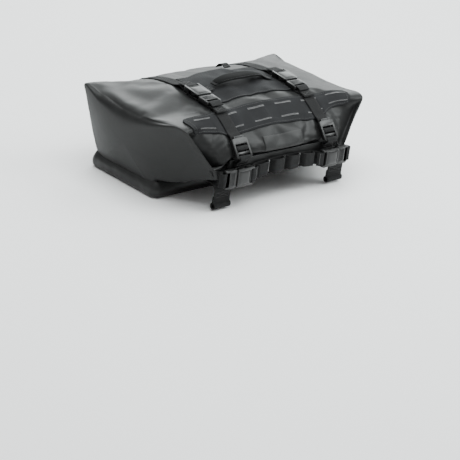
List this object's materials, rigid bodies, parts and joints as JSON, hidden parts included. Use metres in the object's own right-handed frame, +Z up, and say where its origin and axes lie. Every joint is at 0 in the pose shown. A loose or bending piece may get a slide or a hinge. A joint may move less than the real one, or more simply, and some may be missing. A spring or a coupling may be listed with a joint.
{
  "type": "motorcycle tail bag",
  "caption": "Roll-top dry bag lying across a motorcycle tail, with a moulded base, compression straps, a slit webbing panel, a carry handle and side-release buckles.",
  "frame": {"origin": "centre of the flat underside of the base", "axes": "+X along the bag, across the motorcycle; -Y is the side with the rolled mouth; +Z up"},
  "size_m": [0.464, 0.2961, 0.1821],
  "materials": {
    "tarpaulin": "satin coated tarpaulin, black",
    "boot_sheet": "thick satin coated sheet, black",
    "rubber_sheet": "matt rubber-coated sheet, charcoal",
    "webbing": "woven nylon, black",
    "plastic": "moulded acetal, black",
    "board_plastic": "plain polyethylene sheet"
  },
  "bodies": {
    "bag": {"body_shell": "tarpaulin", "base_boot": "boot_sheet", "base_board": "board_plastic", "closure_roll": "tarpaulin", "closure_stiffener": "board_plastic", "molle_panel": "rubber_sheet", "handle_panel": "rubber_sheet", "label_patch": "tarpaulin", "closure_webbing": "webbing", "daisy_chain": "webbing", "top_lash_loop": "webbing", "left_gusset_fold": "tarpaulin", "left_handle_anchor": "rubber_sheet", "left_rear_strap": "webbing", "left_front_strap": "webbing", "left_anchor_tab": "webbing", "left_front_mount_seam": "webbing", "left_rear_mount_seam": "webbing", "left_strap_buckle_female": "plastic", "left_closure_buckle_female": "plastic", "right_gusset_fold": "tarpaulin", "right_handle_anchor": "rubber_sheet", "right_rear_strap": "webbing", "right_front_strap": "webbing", "right_anchor_tab": "webbing", "right_front_mount_seam": "webbing", "right_rear_mount_seam": "webbing", "right_strap_buckle_female": "plastic", "right_closure_buckle_female": "plastic"},
    "carry_handle": {"handle_webbing": "webbing", "handle_grip": "rubber_sheet"},
    "left_strap_buckle_male_half": {"left_strap_buckle_male": "plastic", "left_strap_buckle_arm_a": "plastic", "left_strap_buckle_arm_b": "plastic", "left_front_strap_upper": "webbing"},
    "left_closure_buckle_male_half": {"left_closure_buckle_male": "plastic", "left_closure_buckle_arm_a": "plastic", "left_closure_buckle_arm_b": "plastic", "left_wing_tab": "webbing"},
    "left_lock": {"left_ladder_lock": "plastic", "left_front_strap_end": "webbing"},
    "left_front_mount": {"left_front_mount_strap": "webbing"},
    "left_rear_mount": {"left_rear_mount_strap": "webbing"},
    "right_strap_buckle_male_half": {"right_strap_buckle_male": "plastic", "right_strap_buckle_arm_a": "plastic", "right_strap_buckle_arm_b": "plastic", "right_front_strap_upper": "webbing"},
    "right_closure_buckle_male_half": {"right_closure_buckle_male": "plastic", "right_closure_buckle_arm_a": "plastic", "right_closure_buckle_arm_b": "plastic", "right_wing_tab": "webbing"},
    "right_lock": {"right_ladder_lock": "plastic", "right_front_strap_end": "webbing"},
    "right_front_mount": {"right_front_mount_strap": "webbing"},
    "right_rear_mount": {"right_rear_mount_strap": "webbing"}
  },
  "joints": [
    {"name": "carry_handle_rock", "type": "hinge", "parent": "bag", "child": "carry_handle", "pos_m": [0, -0.036, 0.1681], "axis": [1, 0, 0], "range_deg": [-12, 12]},
    {"name": "left_strap_buckle_release", "type": "slide", "parent": "bag", "child": "left_strap_buckle_male_half", "axis": [0, -0.9903, -0.1392], "range_m": [0, 0.026]},
    {"name": "left_closure_buckle_release", "type": "slide", "parent": "bag", "child": "left_closure_buckle_male_half", "axis": [-1, 0, 0], "range_m": [0, 0.026]},
    {"name": "left_ladder_lock_tilt", "type": "hinge", "parent": "bag", "child": "left_lock", "pos_m": [-0.105, -0.18054, 0.09255], "axis": [1, 0, 0], "range_deg": [0, 40]},
    {"name": "left_front_mount_strap_swing", "type": "hinge", "parent": "bag", "child": "left_front_mount", "pos_m": [-0.1375, -0.1663, 0.0445], "axis": [1, 0, 0], "range_deg": [-45, 25]},
    {"name": "left_rear_mount_strap_swing", "type": "hinge", "parent": "bag", "child": "left_rear_mount", "pos_m": [-0.1375, 0.0936, 0.0428], "axis": [1, 0, 0], "range_deg": [-3, 45]},
    {"name": "right_strap_buckle_release", "type": "slide", "parent": "bag", "child": "right_strap_buckle_male_half", "axis": [0, -0.9903, -0.1392], "range_m": [0, 0.026]},
    {"name": "right_closure_buckle_release", "type": "slide", "parent": "bag", "child": "right_closure_buckle_male_half", "axis": [1, 0, 0], "range_m": [0, 0.026]},
    {"name": "right_ladder_lock_tilt", "type": "hinge", "parent": "bag", "child": "right_lock", "pos_m": [0.105, -0.18054, 0.09255], "axis": [1, 0, 0], "range_deg": [0, 40]},
    {"name": "right_front_mount_strap_swing", "type": "hinge", "parent": "bag", "child": "right_front_mount", "pos_m": [0.1375, -0.1663, 0.0445], "axis": [1, 0, 0], "range_deg": [-45, 25]},
    {"name": "right_rear_mount_strap_swing", "type": "hinge", "parent": "bag", "child": "right_rear_mount", "pos_m": [0.1375, 0.0936, 0.0428], "axis": [1, 0, 0], "range_deg": [-3, 45]}
  ]
}
